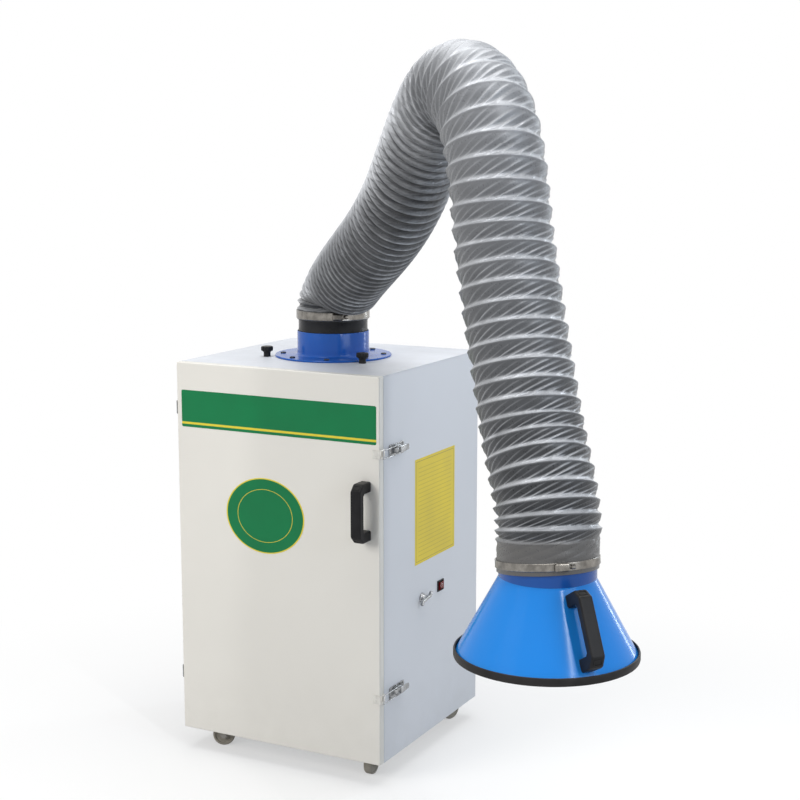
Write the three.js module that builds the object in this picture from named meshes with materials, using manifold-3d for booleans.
// Mobile welding fume extractor: a sheet steel filter cabinet on four swivel castors, with a
// ribbed suction hose on a jointed arm that ends in a round hood.
// Lengths are in millimetres, angles in degrees. +X is the cabinet's right, +Y its back, +Z up.
import * as THREE from 'three';
import Module from 'manifold-3d';
import { mergeVertices } from 'three/addons/utils/BufferGeometryUtils.js';

const wasm = await Module();
wasm.setup();

// Sizes shared by the whole object.
const touch = 0.3;          // gap left between two pieces that touch
const overrun = 5;          // how far a cutting tool runs past what it cuts
const sheet = 1.5;          // steel sheet of the cabinet

// The cabinet, measured over the closed door, and its door.
const cabinet = { width: 500, depth: 480, height: 830, floorGap: 50 };
const door = { thickness: 18, seam: 1 };
const flange = { front: 20, rear: 15, sill: 20, lip: 15 };
const basePlate = { height: 65 };
const louvre = { width: 150, slot: 6, pitch: 14, count: 8, aboveDuct: 6.3 };

// Foam seal inside the door.
const seal = { width: 14, inset: 4 };

// Bridge handle, the same one on the door and on the hood.
const bridge = { length: 125, reach: 45, width: 24, foot: 22, bar: 16, chamfer: 14, bevel: 1.5 };
const doorHandle = { fromEdge: 32, height: 599 };

// Lift-off hinges on the left edge of the door.
const hinge = { knuckle: 4, pin: 1.8, bore: 2.2, leaf: 2, halfHeight: 30, width: 30,
  fromTop: 115, fromLow: 115 };

// Toggle latches on the right side, and the keeper that each pulls on.
const keeper = { halfHeight: 9, plate: 1.6, wrap: 15, setback: 3, lip: 4, lipWidth: 4, lipBack: 11,
  lipHalf: 6 };
const latch = { plate: 2, plateHalf: 13, plateFront: 40, plateLength: 66, block: 5, blockReach: 7.7,
  blockLength: 14, pivotIn: 65, pivotOut: 7, pin: 2, bore: 2.4, eye: 4.4, cheek: 2,
  leverHeight: 6, leverStart: 10, leverLength: 46, strap: 2, fromTop: 160, fromLow: 146 };
const bail = { pivotIn: 12, pivotOut: 0.9, pin: 1.5, bore: 1.9, strap: 2, rise: 3, length: 76,
  bar: 3, lift: 6.4 };

// Wing turn-latch and rocker switch on the right side.
const wing = { y: -46, z: 367, shaft: 7.5, hole: 8.2, hub: 11, hubReach: 9, span: 56, thick: 7,
  wingReach: 16, tip: 9, turn: 35, camLength: 34, camWidth: 12, cam: 3, camDepth: 8 };
const rocker = { y: 46, z: 372.5, width: 31, height: 25, rim: 2, body: 27.2, bodyHeight: 22.4,
  depth: 22, wall: 1.6, keyDepth: 7, pivotDepth: 3, crown: 2.6, tilt: 8, gap: 0.7 };

// Filter stack, the rail that the two thumb knobs press on it, and the knobs.
const filter = { sideRoom: 40, endRoom: 40, headRoom: 118.5, wall: 12, pleats: 12, fold: 60,
  y: 15 };
const screen = { height: 25, wall: 18, bars: 3, bar: 6, crossBar: 8 };
const partition = { height: 430, inlet: 90 };
const rail = { pastKnob: 39, width: 28, drop: 30, thick: 3, legFoot: 30, boss: 9, bossDrop: 8 };
const knob = { tuck: 9, y: -76, head: 13.5, headHeight: 11, neck: 8, neckHeight: 12, stud: 3,
  hole: 3.6, studDrop: 42 };

// Fan under the filter chamber: housing, impeller and flange motor.
const fan = { y: 20, radius: 160, wall: 2, height: 130, inlet: 80, shaftHole: 24, ductWidth: 160,
  ductHeight: 110, ductRise: 10 };
const impeller = { radius: 130, height: 76, rise: 14, plate: 2, eye: 75, hub: 16, hubHeight: 40,
  blades: 8, blade: 2.5, bladeLength: 58, bladeInset: 6, sweep: 35 };
const motor = { radius: 58, height: 104, face: 70, faceThick: 6, shaft: 7, shaftBore: 7.6,
  shaftRise: 62, capRadius: 46, capHeight: 16 };

// Castors: where the swivel axes stand, and how far each is turned at rest.
const castor = { fromSide: 55, fromEnd: 52, wheel: 25, tread: 18, hub: 9, hubWidth: 20, bore: 4.5, axle: 4,
  trail: 14, plate: 54, plateThick: 2.5, kingpin: 5, kingpinBore: 5.6, kingpinDrop: 4,
  crown: 19, crownThick: 3, forkGap: 1.2, fork: 2, forkWidth: 15 };
const castorTurns = { front_left: 28, front_right: 95, rear_left: 110, rear_right: 70 };

// Inlet collar on the top panel and the swivel ring that carries the arm.
const inlet = { y: 9, bore: 78, tube: 80, flangeRadius: 130, flangeThick: 4, tubeHeight: 57,
  boltCircle: 113, boltHole: 4, bolts: 8 };
const swivel = { radius: 77.3, bore: 68, sleeve: 22, ring: 26, spigot: 71.4, spigotHeight: 17 };

// The arm, seen from the side: r runs outwards from the swivel axis, z is the height above the
// floor, lean is the hose's direction measured from straight up.
const armTurn = -41;
const shoulder = { r: 0, z: 985 };
const elbow = { r: 745, z: 1435 };
const wrist = { r: 1065, z: 700 };
const bars = { depth: 24, width: 12, cheek: 5, eye: 17, pin: 6, bore: 6.6, pinHead: 3,
  eyeLength: 26 };
const crossBar = { width: 14, thick: 5 };

// The hose: its radius grows from start to end. It runs past each link at these shares of the
// link's length, shifted to the link's outer side and leaning as given.
const hose = { start: 79.5, end: 84, fabric: 1.6, valley: 4, straight: 21.7, cuff: 53, ease: 130 };
const hoseStations = [
  { link: 'lower', alongShare: 0.0775, side: 13, lean: 58 },
  { link: 'lower', alongShare: 0.61, side: 8.7, lean: 47 },
  { link: 'lower', alongShare: 1.0068, side: -5.8, lean: 114 },
  { link: 'upper', alongShare: 0.3973, side: -25, lean: 161 },
  { link: 'upper', alongShare: 0.7383, side: -13.9, lean: 158 },
];
const bendShare = 0.36;
// Its pieces: where each ends as a share of the hose's length, its ribs, how much its last rib
// pitch is of its first, and how many ribs share one ring of the bore.
const hosePieces = [
  { name: 'hose_collar_bend', endShare: 0.094, ribs: 8, growthShare: 1, ribsPerBoreRing: 1 },
  { name: 'hose_lower', endShare: 0.273, ribs: 16, growthShare: 1, ribsPerBoreRing: 5 },
  { name: 'hose_elbow', endShare: 0.629, ribs: 22, growthShare: 1.8, ribsPerBoreRing: 2 },
  { name: 'hose_upper', endShare: 0.854, ribs: 13, growthShare: 0.8, ribsPerBoreRing: 3 },
  { name: 'hose_hood_bend', endShare: 1, ribs: 9, growthShare: 0.73, ribsPerBoreRing: 2 },
];

// Band clamps round the two ends of the hose.
const clamp = { band: 1.5, width: 18, lift: 2, turn: -12, boxLength: 24, boxHeight: 8,
  boxWidth: 13, screw: 4, screwLength: 34 };

// Hood: neck, cone, rubber edge trim and handle.
const hood = { neck: 80, neckHeight: 11.7, spigot: 75.4, spigotHeight: 39.3, rim: 150,
  coneHeight: 128, wall: 1.5 };
const trim = { lip: 3.5, inner: 5, below: 8, above: 6, slack: 0.5 };
const bracketDrop = 45;
const hoodHandle = { fromTop: 72 };

// Counts of facets on round pieces.
const facets = { large: 36, medium: 20, small: 12, hose: 8 };

// Places worked out from the sizes above.
const xSide = cabinet.width / 2;
const yFront = -cabinet.depth / 2;
const yBack = cabinet.depth / 2;
const yDoorBack = yFront + door.thickness;
const yCase = yDoorBack + door.seam;
const zLow = cabinet.floorGap;
const zTop = cabinet.floorGap + cabinet.height;
const xInner = xSide - sheet - touch;
const yInnerBack = yBack - 2 * sheet - 2 * touch;
const hingeHeights = { upper: zTop - hinge.fromTop, lower: zLow + hinge.fromLow };
const latchHeights = { upper: zTop - latch.fromTop, lower: zLow + latch.fromLow };
const filterHalf = { width: xSide - filter.sideRoom, depth: yBack - filter.endRoom };
const filterHeight = zTop - partition.height - sheet - filter.headRoom;
const zRailLow = zTop - rail.drop;
const knobX = inlet.flangeRadius - knob.tuck;
const zFanTop = partition.height - touch;
const zFanLow = zFanTop - fan.height;

// Finishes.
function finish(name, color, roughness, metalness) {
  const material = new THREE.MeshStandardMaterial({ color, roughness, metalness });
  material.name = name;
  return material;
}
const looks = {
  cream: finish('cabinet_enamel', 0xdedbd4, 0.45, 0.0),
  blue: finish('blue_enamel', 0x2a78c8, 0.35, 0.0),
  black: finish('black_plastic', 0x242423, 0.5, 0.0),
  bright: finish('bright_zinc', 0xc9ccd0, 0.25, 0.9),
  zinc: finish('galvanised_steel', 0x9a9d9f, 0.5, 0.7),
  castor: finish('castor_steel', 0x8c867e, 0.5, 0.6),
  wheel: finish('castor_tread', 0x4a4945, 0.7, 0.0),
  rubber: finish('black_rubber', 0x1d1d1c, 0.8, 0.0),
  fabric: finish('hose_fabric', 0x83868b, 0.45, 0.1),
  paper: finish('filter_paper', 0xe8e4d8, 0.9, 0.0),
  red: finish('switch_red', 0x7a1420, 0.3, 0.0),
  motor: finish('motor_grey', 0x55595c, 0.5, 0.3),
};

// Geometry helpers.
const rad = THREE.MathUtils.degToRad;

function bare(geometry) {
  const plain = geometry.clone();
  plain.deleteAttribute('normal');
  plain.deleteAttribute('uv');
  return mergeVertices(plain);
}

function signedVolume(geometry) {
  const place = geometry.attributes.position;
  const index = geometry.index.array;
  const [a, b, c] = [new THREE.Vector3(), new THREE.Vector3(), new THREE.Vector3()];
  let sum = 0;
  for (let i = 0; i < index.length; i += 3) {
    a.fromBufferAttribute(place, index[i]);
    b.fromBufferAttribute(place, index[i + 1]);
    c.fromBufferAttribute(place, index[i + 2]);
    sum += a.dot(b.cross(c));
  }
  return sum;
}

// Turns every face outwards, whichever way the outline was drawn.
function outward(geometry) {
  const plain = bare(geometry);
  if (signedVolume(plain) >= 0) return plain;
  const index = Array.from(plain.index.array);
  for (let i = 0; i < index.length; i += 3) [index[i + 1], index[i + 2]] = [index[i + 2], index[i + 1]];
  plain.setIndex(index);
  return plain;
}

function solid(geometry) {
  const plain = outward(geometry);
  const vertProperties = new Float32Array(plain.attributes.position.array);
  const triVerts = new Uint32Array(plain.index.array);
  return new wasm.Manifold(new wasm.Mesh({ numProp: 3, vertProperties, triVerts }));
}

function geometryOf(body) {
  const mesh = body.getMesh();
  const geometry = new THREE.BufferGeometry();
  geometry.setAttribute('position', new THREE.Float32BufferAttribute(mesh.vertProperties, 3));
  geometry.setIndex(Array.from(mesh.triVerts));
  return geometry;
}

function join(...geometries) {
  return geometryOf(geometries.map(solid).reduce((whole, next) => whole.add(next)));
}

function cut(geometry, ...tools) {
  return geometryOf(tools.map(solid).reduce((left, tool) => left.subtract(tool), solid(geometry)));
}

// A block between two corners.
function slab(x0, x1, y0, y1, z0, z1) {
  const block = new THREE.BoxGeometry(Math.abs(x1 - x0), Math.abs(y1 - y0), Math.abs(z1 - z0));
  return block.translate((x0 + x1) / 2, (y0 + y1) / 2, (z0 + z1) / 2);
}

// A round bar with its middle at the origin; axis is 'x', 'y' or 'z'.
function rod(radius, length, axis, sides = facets.medium) {
  const bar = new THREE.CylinderGeometry(radius, radius, length, sides);
  if (axis === 'z') bar.rotateX(Math.PI / 2);
  if (axis === 'x') bar.rotateZ(Math.PI / 2);
  return bar;
}

// A turned piece about the Z axis from [radius, height] points.
function turned(points, sides = facets.large) {
  const profile = points.map(([radius, height]) => new THREE.Vector2(radius, height));
  return outward(new THREE.LatheGeometry(profile, sides).rotateX(Math.PI / 2));
}

// A turned ring whose profile closes on itself.
function ring(points, sides = facets.large) {
  return turned([...points, points[0]], sides);
}

function tube(outer, inner, z0, z1, sides = facets.large) {
  return ring([[inner, z0], [outer, z0], [outer, z1], [inner, z1]], sides);
}

// Plates cut from an outline. plateXY stands on z0 and ends at z1; plateXZ and plateYZ lie evenly
// on both sides of the plane y = 0 or x = 0.
function cutPlate(outline, thickness) {
  const shape = outline instanceof THREE.Shape ? outline
    : new THREE.Shape(outline.map(([u, v]) => new THREE.Vector2(u, v)));
  return new THREE.ExtrudeGeometry(shape, { depth: thickness, bevelEnabled: false,
    curveSegments: facets.small });
}

function plateXY(outline, z0, z1) {
  return cutPlate(outline, z1 - z0).translate(0, 0, z0);
}

function plateXZ(outline, thickness) {
  return cutPlate(outline, thickness).rotateX(Math.PI / 2).translate(0, thickness / 2, 0);
}

function plateYZ(outline, thickness) {
  const turn = new THREE.Matrix4().makeBasis(new THREE.Vector3(0, 1, 0),
    new THREE.Vector3(0, 0, 1), new THREE.Vector3(1, 0, 0));
  return cutPlate(outline, thickness).translate(0, 0, -thickness / 2).applyMatrix4(turn);
}

// The object and its named pieces.
const extractor = new THREE.Group();

function piece(name, look, geometry, parent = extractor) {
  const shape = outward(geometry).toNonIndexed();
  shape.computeVertexNormals();
  const mesh = new THREE.Mesh(shape, looks[look]);
  mesh.name = name;
  parent.add(mesh);
  return mesh;
}

// Cabinet shell: two folded side panels, back panel, top panel and base plate.
function sidePanel(side) {
  const rear = yBack - sheet - touch;
  const outline = [
    [xSide, yCase], [xSide, yBack], [xSide - sheet, yBack], [xSide - sheet, rear],
    [xSide - flange.rear, rear], [xSide - flange.rear, rear - sheet],
    [xSide - sheet, rear - sheet], [xSide - sheet, yCase + sheet],
    [xSide - flange.front, yCase + sheet], [xSide - flange.front, yCase],
  ];
  return plateXY(outline.map(([x, y]) => [side * x, y]), zLow, zTop - sheet - touch);
}

function rightPanel() {
  const switchHole = slab(xSide - overrun, xSide + overrun, rocker.y - rocker.body / 2 - touch,
    rocker.y + rocker.body / 2 + touch, rocker.z - rocker.bodyHeight / 2 - touch,
    rocker.z + rocker.bodyHeight / 2 + touch);
  const latchHole = rod(wing.hole, 2 * overrun, 'x').translate(xSide, wing.y, wing.z);
  return cut(sidePanel(1), switchHole, latchHole);
}

function backPanel() {
  const plate = slab(-xInner, xInner, yBack - sheet, yBack, zLow, zTop - sheet - touch);
  const slots = [];
  for (let i = 0; i < louvre.count; i += 1) {
    const z = zFanLow + fan.ductRise + louvre.aboveDuct + i * louvre.pitch;
    slots.push(slab(-louvre.width / 2, louvre.width / 2, yBack - overrun, yBack + overrun,
      z - louvre.slot / 2, z + louvre.slot / 2));
  }
  return cut(plate, ...slots);
}

function topPanel() {
  const z0 = zTop - sheet;
  const zLip = zTop - flange.lip;
  const xLip = xSide - flange.front - 2 * touch;
  const plate = slab(-xSide, xSide, yCase, yBack, z0, zTop);
  const frontLip = slab(-xLip, xLip, yCase + touch, yCase + sheet, zTop - flange.sill,
    z0 + sheet / 2);
  const rearLip = slab(-xLip, xLip, yInnerBack - sheet, yInnerBack, zLip, z0 + sheet / 2);
  const sideLips = [-1, 1].map((side) => slab(side * (xInner - sheet), side * xInner,
    yCase + flange.front, yInnerBack - flange.rear, zLip, z0 + sheet / 2));
  const bore = rod(inlet.bore, 2 * overrun, 'z', facets.large).translate(0, inlet.y, zTop);
  const holes = [-1, 1].map((side) => rod(knob.hole, 2 * overrun, 'z', facets.small)
    .translate(side * knobX, knob.y, zTop));
  return cut(join(plate, frontLip, rearLip, ...sideLips), bore, ...holes);
}

function floorPlate() {
  const z0 = basePlate.height;
  const xLip = xSide - flange.front - 2 * touch;
  const yWide = yCase + sheet + touch;
  const tray = plateXY([[-xLip, yCase], [xLip, yCase], [xLip, yWide], [xInner, yWide],
    [xInner, yInnerBack], [-xInner, yInnerBack], [-xInner, yWide], [-xLip, yWide]],
  z0, z0 + sheet);
  const sill = slab(-xLip + touch, xLip - touch, yCase + touch, yCase + sheet, z0 + sheet / 2,
    z0 + flange.sill);
  return join(tray, sill);
}

piece('side_panel_left', 'cream', sidePanel(-1));
piece('side_panel_right', 'cream', rightPanel());
piece('back_panel', 'cream', backPanel());
piece('top_panel', 'cream', topPanel());
piece('base_plate', 'zinc', floorPlate());

// Partition under the filters, with the fan's inlet hole.
function partitionPlate() {
  const plate = slab(-xInner, xInner, yCase + sheet + touch, yInnerBack, partition.height,
    partition.height + sheet);
  const hole = rod(partition.inlet, 2 * overrun, 'z', facets.large)
    .translate(0, fan.y, partition.height);
  return cut(plate, hole);
}

// Box filter: a frame round one zigzag of thick filter paper; the fold is its height at a crease.
function mainFilter() {
  const z0 = partition.height + sheet + touch;
  const z1 = z0 + filterHeight;
  const [x, y] = [filterHalf.width, filterHalf.depth];
  const [xIn, yIn] = [x - filter.wall, y - filter.wall];
  const frame = cut(slab(-x, x, -y, y, z0, z1),
    slab(-xIn, xIn, -yIn, yIn, z0 - overrun, z1 + overrun));
  const zigzag = [];
  const steps = 2 * filter.pleats;
  const [low, high] = [z0 + filter.wall, z1 - filter.wall - filter.fold];
  const across = (i) => -xIn - filter.wall / 2 + i * (2 * xIn + filter.wall) / steps;
  for (let i = 0; i <= steps; i += 1) zigzag.push([across(i), i % 2 ? high : low]);
  for (let i = steps; i >= 0; i -= 1) zigzag.push([across(i), (i % 2 ? high : low) + filter.fold]);
  const paper = plateXZ(zigzag, 2 * yIn + filter.wall);
  return join(frame, paper).translate(0, filter.y, 0);
}

// Spark screen: a shallow frame with crossing bars that lies on the filter.
function sparkScreen() {
  const z0 = partition.height + sheet + filterHeight + 2 * touch;
  const z1 = z0 + screen.height;
  const [x, y] = [filterHalf.width, filterHalf.depth];
  const [xIn, yIn] = [x - screen.wall, y - screen.wall];
  const frame = cut(slab(-x, x, -y, y, z0, z1),
    slab(-xIn, xIn, -yIn, yIn, z0 - overrun, z1 + overrun));
  const middle = (z0 + z1) / 2;
  const cross = [];
  for (let i = 1; i <= screen.bars; i += 1) {
    const u = -1 + 2 * i / (screen.bars + 1);
    cross.push(slab(u * xIn - screen.bar / 2, u * xIn + screen.bar / 2, -yIn - overrun,
      yIn + overrun, middle - screen.bar / 2, middle + screen.bar / 2));
    cross.push(slab(-xIn - overrun, xIn + overrun, u * yIn - screen.bar / 2,
      u * yIn + screen.bar / 2, middle - screen.crossBar / 2, middle + screen.crossBar / 2));
  }
  return join(frame, ...cross).translate(0, filter.y, 0);
}

// Rail that the knobs' studs screw into; its feet press on the screen's frame.
function clampRail() {
  const zFoot = partition.height + sheet + filterHeight + screen.height + 3 * touch;
  const [half, thick] = [knobX + rail.pastKnob, rail.thick];
  const zRail = zRailLow + thick;
  const footEnd = half - rail.legFoot;
  const outline = [
    [-half, zFoot], [-footEnd, zFoot], [-footEnd, zFoot + thick], [-half + thick, zFoot + thick],
    [-half + thick, zRailLow], [half - thick, zRailLow], [half - thick, zFoot + thick],
    [footEnd, zFoot + thick], [footEnd, zFoot], [half, zFoot], [half, zRail], [-half, zRail],
  ];
  const nuts = [-1, 1].map((end) => rod(rail.boss, rail.bossDrop, 'z', facets.small)
    .translate(end * knobX, 0, zRailLow - rail.bossDrop / 2 + thick / 2));
  const holes = [-1, 1].map((end) => rod(knob.hole, 2 * (rail.bossDrop + overrun), 'z', facets.small)
    .translate(end * knobX, 0, zRailLow));
  return cut(join(plateXZ(outline, rail.width), ...nuts), ...holes).translate(0, knob.y, 0);
}

// Thumb knob, turned in one profile from stud to head.
function thumbKnob() {
  const neckTop = zTop + touch + knob.neckHeight;
  const round = knob.headHeight / 4;
  return turned([
    [0, zTop - knob.studDrop], [knob.stud, zTop - knob.studDrop], [knob.stud, zTop + touch],
    [knob.neck, zTop + touch], [knob.neck, neckTop], [knob.head, neckTop + round],
    [knob.head, neckTop + knob.headHeight - round], [knob.head - round, neckTop + knob.headHeight],
    [0, neckTop + knob.headHeight],
  ], facets.small);
}

piece('partition_plate', 'zinc', partitionPlate());
piece('main_filter', 'paper', mainFilter());
piece('spark_screen', 'zinc', sparkScreen());
piece('filter_clamp_rail', 'zinc', clampRail());
piece('thumb_knob_left', 'black', thumbKnob()).position.set(-knobX, knob.y, 0);
piece('thumb_knob_right', 'black', thumbKnob()).position.set(knobX, knob.y, 0);

// Fan: housing with an outlet duct to the louvres, impeller on the motor's shaft.
function fanHousing() {
  const duct = (margin) => slab(-fan.ductWidth / 2 - margin, fan.ductWidth / 2 + margin, fan.y,
    yBack - sheet - touch + (margin ? 0 : overrun), zFanLow + fan.ductRise - margin,
    zFanLow + fan.ductRise + fan.ductHeight + margin);
  const drum = (radius, height) => rod(radius, height, 'z', facets.large)
    .translate(0, fan.y, (zFanTop + zFanLow) / 2);
  const outside = join(drum(fan.radius, fan.height), duct(fan.wall));
  const inside = join(drum(fan.radius - fan.wall, fan.height - 2 * fan.wall), duct(0));
  const eye = rod(fan.inlet, 2 * overrun, 'z', facets.large).translate(0, fan.y, zFanTop);
  const shaftHole = rod(fan.shaftHole, 2 * overrun, 'z', facets.medium)
    .translate(0, fan.y, zFanLow);
  return cut(outside, inside, eye, shaftHole);
}

function fanImpeller() {
  const z0 = zFanLow + impeller.rise;
  const z1 = z0 + impeller.height;
  const zPlate = z0 + impeller.plate;
  const zHub = z0 + impeller.hubHeight;
  const backAndHub = ring([[motor.shaftBore, z0], [impeller.radius, z0], [impeller.radius, zPlate],
    [impeller.hub, zPlate], [impeller.hub, zHub], [motor.shaftBore, zHub]]);
  const shroud = tube(impeller.radius, impeller.eye, z1 - impeller.plate, z1, facets.large);
  const blades = [];
  const middle = impeller.radius - impeller.bladeInset - impeller.bladeLength / 2;
  for (let i = 0; i < impeller.blades; i += 1) {
    const blade = new THREE.BoxGeometry(impeller.bladeLength, impeller.blade,
      impeller.height - impeller.plate);
    blade.rotateZ(rad(impeller.sweep)).translate(middle, 0, (z0 + z1) / 2);
    blades.push(blade.rotateZ(2 * Math.PI * i / impeller.blades));
  }
  return join(backAndHub, shroud, ...blades).translate(0, fan.y, 0);
}

function fanMotor() {
  const zFace = zFanLow - touch;
  const zBody = zFace - motor.height;
  return turned([
    [0, zBody - motor.capHeight], [motor.capRadius, zBody - motor.capHeight],
    [motor.radius, zBody], [motor.radius, zFace - motor.faceThick],
    [motor.face, zFace - motor.faceThick], [motor.face, zFace],
    [motor.shaft, zFace], [motor.shaft, zFace + motor.shaftRise], [0, zFace + motor.shaftRise],
  ], facets.medium).translate(0, fan.y, 0);
}

piece('fan_housing', 'zinc', fanHousing());
piece('fan_impeller', 'zinc', fanImpeller());
piece('fan_motor', 'motor', fanMotor());

// Door: a folded pan, its foam seal and the bridge handle.
function doorPanel() {
  const pan = slab(-xSide, xSide, yFront, yDoorBack, zLow, zTop);
  const hollow = slab(-xSide + sheet, xSide - sheet, yFront + sheet, yDoorBack + overrun,
    zLow + sheet, zTop - sheet);
  return cut(pan, hollow);
}

function doorSeal() {
  const x = xSide - seal.inset;
  const y0 = yFront + sheet + touch;
  const y1 = yCase - touch;
  const [z0, z1] = [basePlate.height + seal.inset, zTop - seal.inset];
  const outer = slab(-x, x, y0, y1, z0, z1);
  const inner = slab(-x + seal.width, x - seal.width, y0 - overrun, y1 + overrun, z0 + seal.width,
    z1 - seal.width);
  return cut(outer, inner);
}

// Bridge handle along Z, standing out along -Y from the plane y = 0.
function bridgeHandle() {
  const half = bridge.length / 2 - bridge.bevel;
  const far = bridge.reach - bridge.bevel;
  const near = bridge.reach - bridge.bar + bridge.bevel;
  const inside = bridge.length / 2 - bridge.foot + bridge.bevel;
  const outline = [
    [bridge.bevel, -half], [far - bridge.chamfer, -half], [far, -half + bridge.chamfer],
    [far, half - bridge.chamfer], [far - bridge.chamfer, half], [bridge.bevel, half],
    [bridge.bevel, inside], [near, inside], [near, -inside], [bridge.bevel, -inside],
  ];
  const shape = new THREE.Shape(outline.map(([out, along]) => new THREE.Vector2(along, out)));
  const depth = bridge.width - 2 * bridge.bevel;
  const bar = new THREE.ExtrudeGeometry(shape, { depth, bevelEnabled: true, bevelSegments: 1,
    bevelSize: bridge.bevel, bevelThickness: bridge.bevel });
  // The outline's first axis becomes +Z and its second becomes -Y.
  const turn = new THREE.Matrix4().makeBasis(new THREE.Vector3(0, 0, 1),
    new THREE.Vector3(0, -1, 0), new THREE.Vector3(1, 0, 0));
  return bar.translate(0, 0, -depth / 2).applyMatrix4(turn);
}

piece('door_panel', 'cream', doorPanel());
piece('door_seal', 'rubber', doorSeal());
piece('door_handle', 'black', bridgeHandle())
  .position.set(xSide - doorHandle.fromEdge, yFront - touch, doorHandle.height);

// Lift-off hinges: the lower half with the pin is on the cabinet, the upper half on the door.
const hingeX = -xSide - touch - hinge.knuckle;
const hingeY = yDoorBack + door.seam / 2;

// Leaf and knuckle as one outline; direction is 1 for the cabinet's half and -1 for the door's.
function hingeHalf(direction, z0, z1) {
  const xPlate = -xSide - touch;
  const yEnd = direction > 0 ? hingeY + hinge.width : yFront + touch;
  const meet = Math.acos((hinge.knuckle - hinge.leaf) / hinge.knuckle);
  const outline = new THREE.Shape();
  outline.moveTo(xPlate - hinge.leaf, yEnd);
  outline.lineTo(xPlate, yEnd);
  outline.lineTo(xPlate, hingeY);
  outline.absarc(hingeX, hingeY, hinge.knuckle, 0, direction * meet, direction > 0);
  return plateXY(outline, z0, z1);
}

function hingeLeafWithPin(height) {
  const half = hingeHalf(1, height - hinge.halfHeight, height - touch / 2);
  const pin = rod(hinge.pin, 2 * hinge.halfHeight - 2 * touch, 'z', facets.small)
    .translate(hingeX, hingeY, height);
  return join(half, pin);
}

function hingeLeafWithBore(height) {
  const half = hingeHalf(-1, height + touch / 2, height + hinge.halfHeight);
  const bore = rod(hinge.bore, 2 * (hinge.halfHeight + overrun), 'z', facets.small)
    .translate(hingeX, hingeY, height);
  return cut(half, bore);
}

for (const [place, height] of Object.entries(hingeHeights)) {
  piece(`hinge_leaf_cabinet_${place}`, 'zinc', hingeLeafWithPin(height));
  piece(`hinge_leaf_door_${place}`, 'zinc', hingeLeafWithBore(height));
}

// Toggle latches: keeper on the door's edge; base, lever and bail on the side panel.
const latchX = xSide + touch;
const pivotX = latchX + latch.pivotOut;
const pivotY = yFront + latch.pivotIn;
const bailX = pivotX + bail.pivotOut;
const bailY = pivotY + bail.pivotIn;
const cheekZ = latch.block + touch;
const bailZ = cheekZ + latch.cheek + touch;

function latchKeeper() {
  const h = keeper.halfHeight;
  const [x0, x1] = [xSide - keeper.wrap, latchX + keeper.plate];
  const y0 = yFront - touch - keeper.plate;
  const angle = plateXY([[x0, y0], [x1, y0], [x1, yDoorBack], [latchX, yDoorBack],
    [latchX, yFront - touch], [x0, yFront - touch]], -h, h);
  const lipY = y0 + keeper.lipBack;
  const lip = slab(latchX + keeper.plate / 2, x1 + keeper.lip, lipY, lipY + keeper.lipWidth,
    -keeper.lipHalf, keeper.lipHalf);
  return join(angle, lip);
}

function latchBase() {
  const y0 = yFront + latch.plateFront;
  const plate = slab(latchX, latchX + latch.plate, y0, y0 + latch.plateLength, -latch.plateHalf,
    latch.plateHalf);
  const block = slab(latchX + latch.plate / 2, latchX + latch.plate + latch.blockReach,
    pivotY - latch.blockLength / 2, pivotY + latch.blockLength / 2, -latch.block, latch.block);
  const bore = rod(latch.bore, 2 * (latch.block + overrun), 'z', facets.small)
    .translate(pivotX, pivotY, 0);
  return cut(join(plate, block), bore);
}

function latchLever() {
  const x0 = latchX + latch.plate + touch;
  const x1 = latchX + latch.plate + latch.blockReach + 2 * touch + latch.strap;
  const yEnd = pivotY + 2 * latch.leverStart;
  const outline = new THREE.Shape();
  outline.moveTo(x1 - latch.strap / 2, pivotY);
  outline.lineTo(x1 - latch.strap / 2, yEnd);
  outline.lineTo(x0, yEnd);
  outline.lineTo(x0, pivotY);
  outline.absarc(pivotX, pivotY, latch.eye, Math.PI, 2 * Math.PI, false);
  const cheeks = [-1, 1].map((side) => {
    const middle = side * (cheekZ + latch.cheek / 2);
    const cheek = plateXY(outline, middle - latch.cheek / 2, middle + latch.cheek / 2);
    const hole = rod(bail.bore, 2 * latch.cheek, 'z', facets.small).translate(bailX, bailY, middle);
    return cut(cheek, hole);
  });
  const half = cheekZ + latch.cheek / 2;
  const strap = slab(x1 - latch.strap, x1, pivotY + latch.blockLength / 2 + touch,
    pivotY + latch.leverLength, -half, half);
  const pin = rod(latch.pin, 2 * half, 'z', facets.small).translate(pivotX, pivotY, 0);
  return join(...cheeks, strap, pin);
}

function latchBail() {
  const x0 = latchX + bail.lift;
  const y0 = bailY - bail.length;
  const [y1, outer] = [bailY + bail.pin, bailZ + bail.strap];
  const hoop = plateYZ([[y0, -outer], [y1, -outer], [y1, -bailZ], [y0 + bail.bar, -bailZ],
    [y0 + bail.bar, bailZ], [y1, bailZ], [y1, outer], [y0, outer]], bail.rise);
  const pins = [-1, 1].map((side) => {
    const [inner, head] = [cheekZ + latch.cheek / 2, outer + touch];
    return rod(bail.pin, head - inner, 'z', facets.small)
      .translate(bailX, bailY, side * (inner + head) / 2);
  });
  return join(hoop.translate(x0 + bail.rise / 2, 0, 0), ...pins);
}

for (const [place, height] of Object.entries(latchHeights)) {
  piece(`latch_keeper_${place}`, 'bright', latchKeeper()).position.z = height;
  piece(`latch_base_${place}`, 'bright', latchBase()).position.z = height;
  piece(`latch_lever_${place}`, 'bright', latchLever()).position.z = height;
  piece(`latch_bail_${place}`, 'bright', latchBail()).position.z = height;
}

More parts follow.
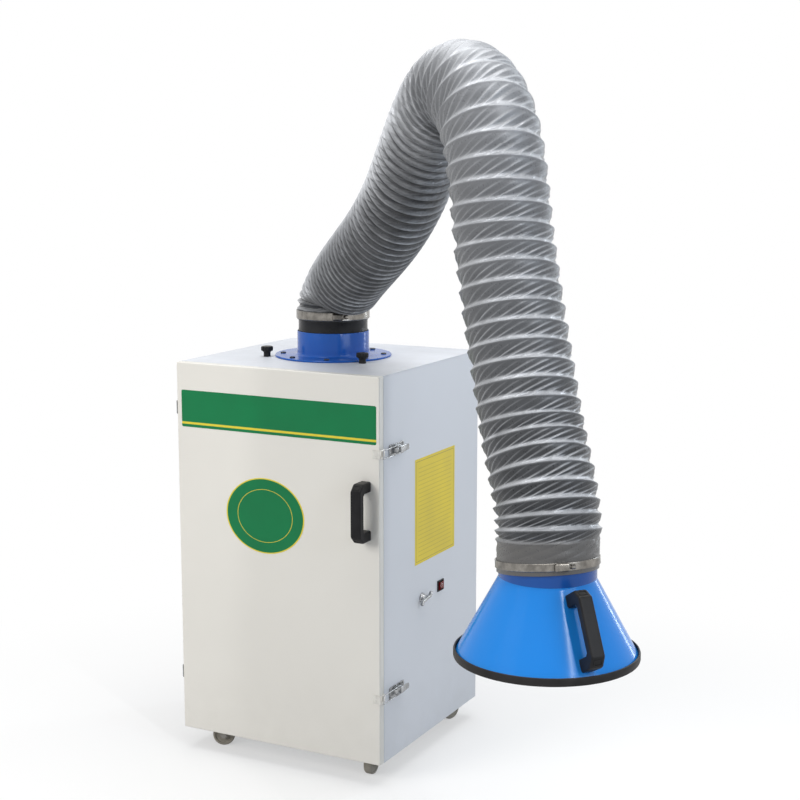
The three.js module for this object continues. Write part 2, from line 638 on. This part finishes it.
// Wing turn-latch: hub and S-shaped handle outside, shaft and cam inside.
function wingLatch() {
  const [half, thick] = [wing.span / 2, wing.thick / 2];
  const end = wing.tip;
  const handleX = latchX + wing.hubReach + (wing.wingReach - wing.hubReach) / 2 - thick / 2;
  const handle = plateYZ([[-half, -end], [-half + wing.thick, -end], [-half + wing.thick, -thick],
    [half, -thick], [half, end], [half - wing.thick, end], [half - wing.thick, thick],
    [-half, thick]], wing.wingReach - wing.hubReach + thick).translate(handleX, 0, 0);
  const hub = rod(wing.hub, wing.hubReach, 'x').translate(latchX + wing.hubReach / 2, 0, 0);
  const camX = latchX - wing.camDepth;
  const [shaftFrom, shaftTo] = [camX + wing.cam / 2, latchX + wing.hubReach / 2];
  const shaft = rod(wing.shaft, shaftTo - shaftFrom, 'x')
    .translate((shaftFrom + shaftTo) / 2, 0, 0);
  const cam = slab(camX, camX + wing.cam, -wing.camWidth / 2, wing.camWidth / 2,
    -wing.shaft - wing.cam, wing.camLength);
  return join(hub, shaft, handle.rotateX(rad(wing.turn)), cam);
}

piece('wing_latch', 'bright', wingLatch()).position.set(0, wing.y, wing.z);

// Rocker switch: a hollow bezel through the side panel and the key that tilts in it.
function switchBezel() {
  const rim = slab(latchX, latchX + rocker.rim, -rocker.width / 2, rocker.width / 2,
    -rocker.height / 2, rocker.height / 2);
  const body = slab(latchX - rocker.depth, latchX + rocker.rim / 2, -rocker.body / 2,
    rocker.body / 2, -rocker.bodyHeight / 2, rocker.bodyHeight / 2);
  const pocket = slab(latchX - rocker.depth + rocker.wall, latchX + overrun,
    -rocker.body / 2 + rocker.wall, rocker.body / 2 - rocker.wall,
    -rocker.bodyHeight / 2 + rocker.wall, rocker.bodyHeight / 2 - rocker.wall);
  return cut(join(rim, body), pocket);
}

function switchKey() {
  const half = rocker.body / 2 - rocker.wall - 2 * rocker.gap;
  const high = rocker.pivotDepth + rocker.rim + rocker.crown;
  const outline = [[-half, high], [0, high - rocker.crown], [half, high],
    [half - rocker.crown, -rocker.keyDepth], [-half + rocker.crown, -rocker.keyDepth]];
  const shape = new THREE.Shape(outline.map(([y, x]) => new THREE.Vector2(y, x)));
  const depth = rocker.bodyHeight - 2 * rocker.wall - 2 * rocker.gap;
  const key = new THREE.ExtrudeGeometry(shape, { depth, bevelEnabled: false });
  // The outline's first axis becomes -Y and its second becomes +X.
  const turn = new THREE.Matrix4().makeBasis(new THREE.Vector3(0, -1, 0),
    new THREE.Vector3(1, 0, 0), new THREE.Vector3(0, 0, 1));
  return key.translate(0, 0, -depth / 2).applyMatrix4(turn);
}

const bezel = piece('switch_bezel', 'black', switchBezel());
bezel.position.set(0, rocker.y, rocker.z);
const key = piece('switch_rocker', 'red', switchKey());
key.position.set(latchX - rocker.pivotDepth, rocker.y, rocker.z);
key.rotation.z = rad(rocker.tilt);

// Castors: mounting plate with kingpin, swivel fork with axle, and wheel.
const zPlateTop = basePlate.height - touch;
const zPlateLow = zPlateTop - castor.plateThick;
const zCrownTop = zPlateLow - touch;
const zCrownLow = zCrownTop - castor.crownThick;

function castorPlate() {
  const half = castor.plate / 2;
  const plate = slab(-half, half, -half, half, zPlateLow, zPlateTop);
  const [low, high] = [zCrownLow - castor.kingpinDrop, zPlateTop - castor.plateThick / 2];
  const pin = rod(castor.kingpin, high - low, 'z', facets.small)
    .translate(0, 0, (high + low) / 2);
  return join(plate, pin);
}

function castorFork() {
  const inside = castor.hubWidth / 2 + castor.forkGap;
  const crown = tube(castor.crown, castor.kingpinBore, zCrownLow, zCrownTop, facets.medium);
  const cheeks = [-1, 1].map((side) => {
    const shape = new THREE.Shape();
    shape.moveTo(-castor.forkWidth, zCrownTop - castor.crownThick / 2);
    shape.lineTo(castor.forkWidth, zCrownTop - castor.crownThick / 2);
    shape.lineTo(castor.trail + 2 * castor.axle, castor.wheel);
    shape.absarc(castor.trail, castor.wheel, 2 * castor.axle, 0, -Math.PI, true);
    const cheek = new THREE.ExtrudeGeometry(shape, { depth: castor.fork, bevelEnabled: false,
      curveSegments: 6 });
    return cheek.rotateX(Math.PI / 2)
      .translate(0, side > 0 ? inside + castor.fork : -inside, 0);
  });
  const axle = rod(castor.axle, 2 * inside + castor.fork, 'y', facets.small)
    .translate(castor.trail, 0, castor.wheel);
  return join(crown, ...cheeks, axle);
}

function castorWheel() {
  const sides = facets.medium;
  // The corners stand outside the rolling radius, so that a flat of the wheel rests on the floor.
  const outer = castor.wheel / Math.cos(Math.PI / sides);
  const [half, wide] = [castor.tread / 2, castor.hubWidth / 2];
  const wheel = ring([[castor.bore, -wide], [castor.hub, -wide], [castor.hub, -half],
    [outer, -half], [outer, half], [castor.hub, half], [castor.hub, wide], [castor.bore, wide]],
    sides);
  // The wheel's axis turns from Z to Y, with a flat side down.
  return wheel.rotateZ(Math.PI / sides).rotateX(Math.PI / 2)
    .translate(castor.trail, 0, castor.wheel);
}

const castorX = xSide - castor.fromSide;
const castorY = yBack - castor.fromEnd;
for (const [place, turn] of Object.entries(castorTurns)) {
  const spot = new THREE.Group();
  spot.position.x = place.endsWith('left') ? -castorX : castorX;
  spot.position.y = place.startsWith('front') ? -castorY : castorY;
  const turning = new THREE.Group();
  turning.rotation.z = rad(turn);
  spot.add(turning);
  extractor.add(spot);
  piece(`castor_plate_${place}`, 'castor', castorPlate(), spot);
  piece(`castor_fork_${place}`, 'castor', castorFork(), turning);
  piece(`castor_wheel_${place}`, 'wheel', castorWheel(), turning);
}

// Inlet collar, bolted to the top panel.
const zFlange = zTop + touch;
const zTubeTop = zFlange + inlet.tubeHeight;

function inletCollar() {
  const collar = ring([[inlet.bore, zFlange], [inlet.flangeRadius, zFlange],
    [inlet.flangeRadius, zFlange + inlet.flangeThick], [inlet.tube, zFlange + inlet.flangeThick],
    [inlet.tube, zTubeTop], [inlet.bore, zTubeTop]]);
  const holes = [];
  for (let i = 0; i < inlet.bolts; i += 1) {
    const turn = 2 * Math.PI * (i + 0.5) / inlet.bolts;
    holes.push(rod(inlet.boltHole, 2 * overrun, 'z', facets.small).translate(
      inlet.boltCircle * Math.cos(turn), inlet.boltCircle * Math.sin(turn), zFlange));
  }
  return cut(collar, ...holes);
}

piece('inlet_collar', 'blue', inletCollar()).position.y = inlet.y;

// Everything on the arm is built in its own upright plane: X outwards, Y across, Z up.
const arm = new THREE.Group();
arm.position.y = inlet.y;
arm.rotation.z = rad(armTurn);
extractor.add(arm);

// Swivel ring: sleeve in the collar, visible ring, and a spigot inside the hose.
const zRingTop = zTubeTop + swivel.ring;

function swivelRing() {
  return ring([[swivel.bore, zTubeTop - swivel.sleeve], [swivel.radius, zTubeTop - swivel.sleeve],
    [swivel.radius, zRingTop], [swivel.spigot, zRingTop],
    [swivel.spigot, zRingTop + swivel.spigotHeight], [swivel.bore, zRingTop + swivel.spigotHeight]]);
}

piece('swivel_ring', 'black', swivelRing(), arm);

// A flat bar in X and Z with a round eye about zPivot, lying evenly on both sides of y = 0.
function eyePlate(zEnd, zPivot, thickness) {
  const half = bars.depth / 2;
  const meet = Math.asin(half / bars.eye);
  const above = zEnd > zPivot;
  const outline = new THREE.Shape();
  outline.moveTo(-half, zEnd);
  outline.lineTo(half, zEnd);
  const start = Math.PI / 2 - meet;
  if (above) outline.absarc(0, zPivot, bars.eye, start, Math.PI - start, true);
  else outline.absarc(0, zPivot, bars.eye, -start, Math.PI + start, false);
  return plateXZ(outline, thickness);
}

// The two cheeks of a fork about zPivot, which an eye of the bars' width fits between.
function forkCheeks(zEnd, zPivot) {
  const middle = bars.width / 2 + touch + bars.cheek / 2;
  return [-1, 1].map((side) => eyePlate(zEnd, zPivot, bars.cheek).translate(0, side * middle, 0));
}

// Arm links inside the hose: an eye with its pin at the near joint, a fork at the far one.
function linkBar(from, to) {
  const length = Math.hypot(to.r - from.r, to.z - from.z);
  const turn = Math.atan2(to.r - from.r, to.z - from.z);
  const outside = bars.width / 2 + touch + bars.cheek;
  const shank = eyePlate(length - bars.eyeLength, 0, bars.width);
  const cheeks = forkCheeks(length - 2 * bars.eyeLength, length);
  const zWeb = length - 1.5 * bars.eyeLength;
  const webDepth = bars.depth / 2 - touch;
  const webSide = outside - bars.cheek / 2;
  const web = slab(-webDepth, webDepth, -webSide, webSide, zWeb - bars.cheek, zWeb + bars.cheek);
  const hole = rod(bars.bore, 2 * (outside + overrun), 'y', facets.small).translate(0, 0, length);
  const pin = rod(bars.pin, 2 * (outside + bars.pinHead), 'y', facets.small);
  const link = join(cut(join(shank, ...cheeks, web), hole), pin);
  return link.rotateY(turn).translate(from.r, 0, from.z);
}

// Two flat bars that cross inside a tube of the given bore, with their top at the given height.
function crossBars(bore, zBarTop) {
  const side = crossBar.width / 2;
  const half = Math.sqrt(bore ** 2 - side ** 2) * Math.cos(Math.PI / facets.large) - touch;
  return plateXY([[-half, -side], [-side, -side], [-side, -half], [side, -half], [side, -side],
    [half, -side], [half, side], [side, side], [side, half], [-side, half], [-side, side],
    [-half, side]], zBarTop - crossBar.thick, zBarTop);
}

// Yoke: a fork of two cheeks on cross bars in the swivel ring.
function armYoke() {
  const cheeks = forkCheeks(zTubeTop - crossBar.thick / 2, shoulder.z);
  const outside = bars.width / 2 + touch + bars.cheek;
  const hole = rod(bars.bore, 2 * (outside + overrun), 'y', facets.small)
    .translate(0, 0, shoulder.z);
  return cut(join(...cheeks, crossBars(swivel.bore, zTubeTop)), hole);
}

piece('arm_yoke', 'zinc', armYoke(), arm);
piece('lower_arm_bar', 'zinc', linkBar(shoulder, elbow), arm);
piece('upper_arm_bar', 'zinc', linkBar(elbow, wrist), arm);

// The hose's route in the arm's plane, as one path measured along its length.
const zNeckTop = wrist.z - hood.spigotHeight;
const links = { lower: [shoulder, elbow], upper: [elbow, wrist] };

function stationPoint(station) {
  const [from, to] = links[station.link];
  const along = new THREE.Vector2(to.r - from.r, to.z - from.z);
  const side = new THREE.Vector2(-along.y, along.x).normalize();
  const turnOut = station.link === 'lower' ? station.side : -station.side;
  const place = along.multiplyScalar(station.alongShare).addScaledVector(side, turnOut);
  return { r: from.r + place.x, z: from.z + place.y, lean: station.lean };
}

function hoseRoute() {
  const point = ({ r, z }) => new THREE.Vector3(r, 0, z);
  const heading = ({ lean }) => new THREE.Vector3(Math.sin(rad(lean)), 0, Math.cos(rad(lean)));
  const first = { r: shoulder.r, z: zRingTop + touch + hose.straight, lean: 0 };
  const last = { r: wrist.r, z: zNeckTop + touch + hose.cuff, lean: 180 };
  const stations = [first, ...hoseStations.map(stationPoint), last];
  const path = new THREE.CurvePath();
  path.add(new THREE.LineCurve3(point({ r: first.r, z: zRingTop + touch }), point(first)));
  for (let i = 1; i < stations.length; i += 1) {
    const [from, to] = [point(stations[i - 1]), point(stations[i])];
    const reach = bendShare * from.distanceTo(to);
    const leaving = from.clone().addScaledVector(heading(stations[i - 1]), reach);
    const arriving = to.clone().addScaledVector(heading(stations[i]), -reach);
    path.add(new THREE.CubicBezierCurve3(from, leaving, arriving, to));
  }
  path.add(new THREE.LineCurve3(point(last), point({ r: last.r, z: zNeckTop + touch })));
  return path;
}

const route = hoseRoute();
const routeLength = route.getLength();

// One ring of points round the route. Near the collar the rings tip over more slowly than the
// route does, so that they stay apart on the inside of the bend.
function hoseRing(length, inset) {
  const share = THREE.MathUtils.clamp(length / routeLength, 0, 1);
  const middle = route.getPoint(share);
  const ahead = route.getTangent(share);
  const eased = THREE.MathUtils.smoothstep(length, hose.straight, hose.straight + hose.ease);
  const lean = Math.atan2(ahead.x, ahead.z) * eased;
  const outwards = new THREE.Vector3(Math.cos(lean), 0, -Math.sin(lean));
  const radius = hose.start + (hose.end - hose.start) * share - inset;
  const points = [];
  for (let i = 0; i < facets.hose; i += 1) {
    const turn = 2 * Math.PI * i / facets.hose;
    points.push(middle.clone().addScaledVector(outwards, radius * Math.cos(turn))
      .add(new THREE.Vector3(0, radius * Math.sin(turn), 0)));
  }
  return points;
}

// Lengths at which the ribs of one piece start: their pitch grows evenly from first to last.
function ribStarts(from, to, ribs, growthShare) {
  const weights = Array.from({ length: ribs },
    (_, i) => 1 + (growthShare - 1) * i / Math.max(ribs - 1, 1));
  const whole = weights.reduce((sum, weight) => sum + weight, 0);
  const starts = [from];
  for (const weight of weights) starts.push(starts.at(-1) + (to - from) * weight / whole);
  return starts;
}

// One ribbed piece with its bore: rings up the outside, then down the bore and round again.
function hosePiece(from, to, cuffs, { ribs, growthShare, ribsPerBoreRing }) {
  const ribsFrom = from + cuffs.start;
  const ribsTo = to - cuffs.end;
  const starts = ribStarts(ribsFrom, ribsTo, ribs, growthShare);
  const outside = [];
  const bore = [];
  if (cuffs.start) outside.push(hoseRing(from, 0), hoseRing(ribsFrom - hose.valley, 0));
  for (let i = 0; i < ribs; i += 1) {
    outside.push(hoseRing(starts[i], hose.valley), hoseRing((starts[i] + starts[i + 1]) / 2, 0));
    if (i % ribsPerBoreRing === 0 && i) bore.push(starts[i]);
  }
  outside.push(hoseRing(ribsTo, hose.valley));
  if (cuffs.end) outside.push(hoseRing(ribsTo + hose.valley, 0), hoseRing(to, 0));
  const inset = hose.valley + hose.fabric;
  const inside = [ribsFrom, ...bore, ribsTo].map((length) => hoseRing(length, inset));
  const cuffRings = (...lengths) => lengths.map((length) => hoseRing(length, hose.fabric));
  if (cuffs.start) inside.unshift(...cuffRings(from, ribsFrom - hose.valley));
  if (cuffs.end) inside.push(...cuffRings(ribsTo + hose.valley, to));
  return ringsToSolid([...outside, ...inside.reverse()]);
}

// Joins each ring to the next and the last to the first.
function ringsToSolid(rings) {
  const sides = rings[0].length;
  const index = [];
  rings.forEach((_, row) => {
    const next = (row + 1) % rings.length;
    for (let i = 0; i < sides; i += 1) {
      const j = (i + 1) % sides;
      const [a, b] = [row * sides + i, row * sides + j];
      const [c, d] = [next * sides + j, next * sides + i];
      index.push(a, b, c, a, c, d);
    }
  });
  const geometry = new THREE.BufferGeometry();
  geometry.setFromPoints(rings.flat());
  geometry.setIndex(index);
  return geometry;
}

let hoseFrom = 0;
for (const part of hosePieces) {
  const hoseTo = part.endShare * routeLength;
  const isLast = part === hosePieces.at(-1);
  const cuffs = { start: hoseFrom ? 0 : hose.straight, end: isLast ? hose.cuff : 0 };
  piece(part.name, 'fabric', hosePiece(hoseFrom, hoseTo - (isLast ? 0 : touch), cuffs, part), arm);
  hoseFrom = hoseTo;
}

// Band clamp with its screw housing, at a hose end of the given radius.
function bandClamp(radius, z0) {
  const inner = (radius + touch) / Math.cos(Math.PI / facets.large);
  const band = tube(inner + clamp.band, inner, z0, z0 + clamp.width);
  const boxX = inner + clamp.band / 2;
  const middle = z0 + clamp.width / 2;
  const box = slab(boxX, boxX + clamp.boxHeight, -clamp.boxLength / 2, clamp.boxLength / 2,
    middle - clamp.boxWidth / 2, middle + clamp.boxWidth / 2);
  const screw = rod(clamp.screw, clamp.screwLength, 'y', facets.small)
    .translate(boxX + clamp.boxHeight / 2, (clamp.screwLength - clamp.boxLength) / 2 + touch,
      middle);
  return join(band, box, screw).rotateZ(rad(clamp.turn));
}

const collarClampZ = zRingTop + touch + clamp.lift;
const hoodClampZ = zNeckTop + touch + clamp.lift;
piece('hose_clamp_collar', 'bright', bandClamp(hose.start, collarClampZ), arm);
piece('hose_clamp_hood', 'bright', bandClamp(hose.end, hoodClampZ), arm)
  .position.x = wrist.r;

// Hood: bracket, shell, rubber edge and handle, all round an upright axis through the wrist.
const suction = new THREE.Group();
suction.position.x = wrist.r;
arm.add(suction);
const zNeckLow = zNeckTop - hood.neckHeight;
const zRim = zNeckLow - hood.coneHeight;

function hoodBracket() {
  const zBar = wrist.z - bracketDrop;
  const shank = eyePlate(zBar - crossBar.thick / 2, wrist.z, bars.width);
  const pinLength = bars.width + 2 * (touch + bars.cheek + bars.pinHead);
  const pin = rod(bars.pin, pinLength, 'y', facets.small).translate(0, 0, wrist.z);
  return join(shank, pin, crossBars(hood.spigot - hood.wall, zBar));
}

function hoodShell() {
  const wall = hood.wall;
  return ring([
    [hood.spigot, wrist.z], [hood.spigot, zNeckTop], [hood.neck, zNeckTop],
    [hood.neck, zNeckLow], [hood.rim, zRim], [hood.rim - wall, zRim],
    [hood.spigot - wall, zNeckLow], [hood.spigot - wall, wrist.z],
  ]);
}

function hoodTrim() {
  const inner = hood.rim + trim.slack;
  return ring([
    [hood.rim - trim.inner, zRim - trim.below], [inner + trim.lip, zRim - trim.below],
    [inner + trim.lip, zRim + trim.above], [inner, zRim + trim.above],
    [inner, zRim - touch], [hood.rim - trim.inner, zRim - touch],
  ]);
}

// The bridge handle turned round to stand on the outer side of the cone.
function hoodBridge() {
  const slope = Math.atan2(hood.rim - hood.neck, hood.coneHeight);
  return bridgeHandle().translate(0, -touch, 0).rotateZ(Math.PI / 2).rotateY(-slope).translate(
    hood.neck + hoodHandle.fromTop * Math.sin(slope), 0,
    zNeckLow - hoodHandle.fromTop * Math.cos(slope));
}

piece('hood_bracket', 'zinc', hoodBracket(), suction);
piece('hood_shell', 'blue', hoodShell(), suction);
piece('hood_edge_trim', 'rubber', hoodTrim(), suction);
piece('hood_handle', 'black', hoodBridge(), suction);

// The origin is on the floor, under the middle of the whole object.
const bounds = new THREE.Box3().setFromObject(extractor, true);
const middle = bounds.getCenter(new THREE.Vector3());
extractor.position.set(-middle.x, -middle.y, 0);

export default extractor;
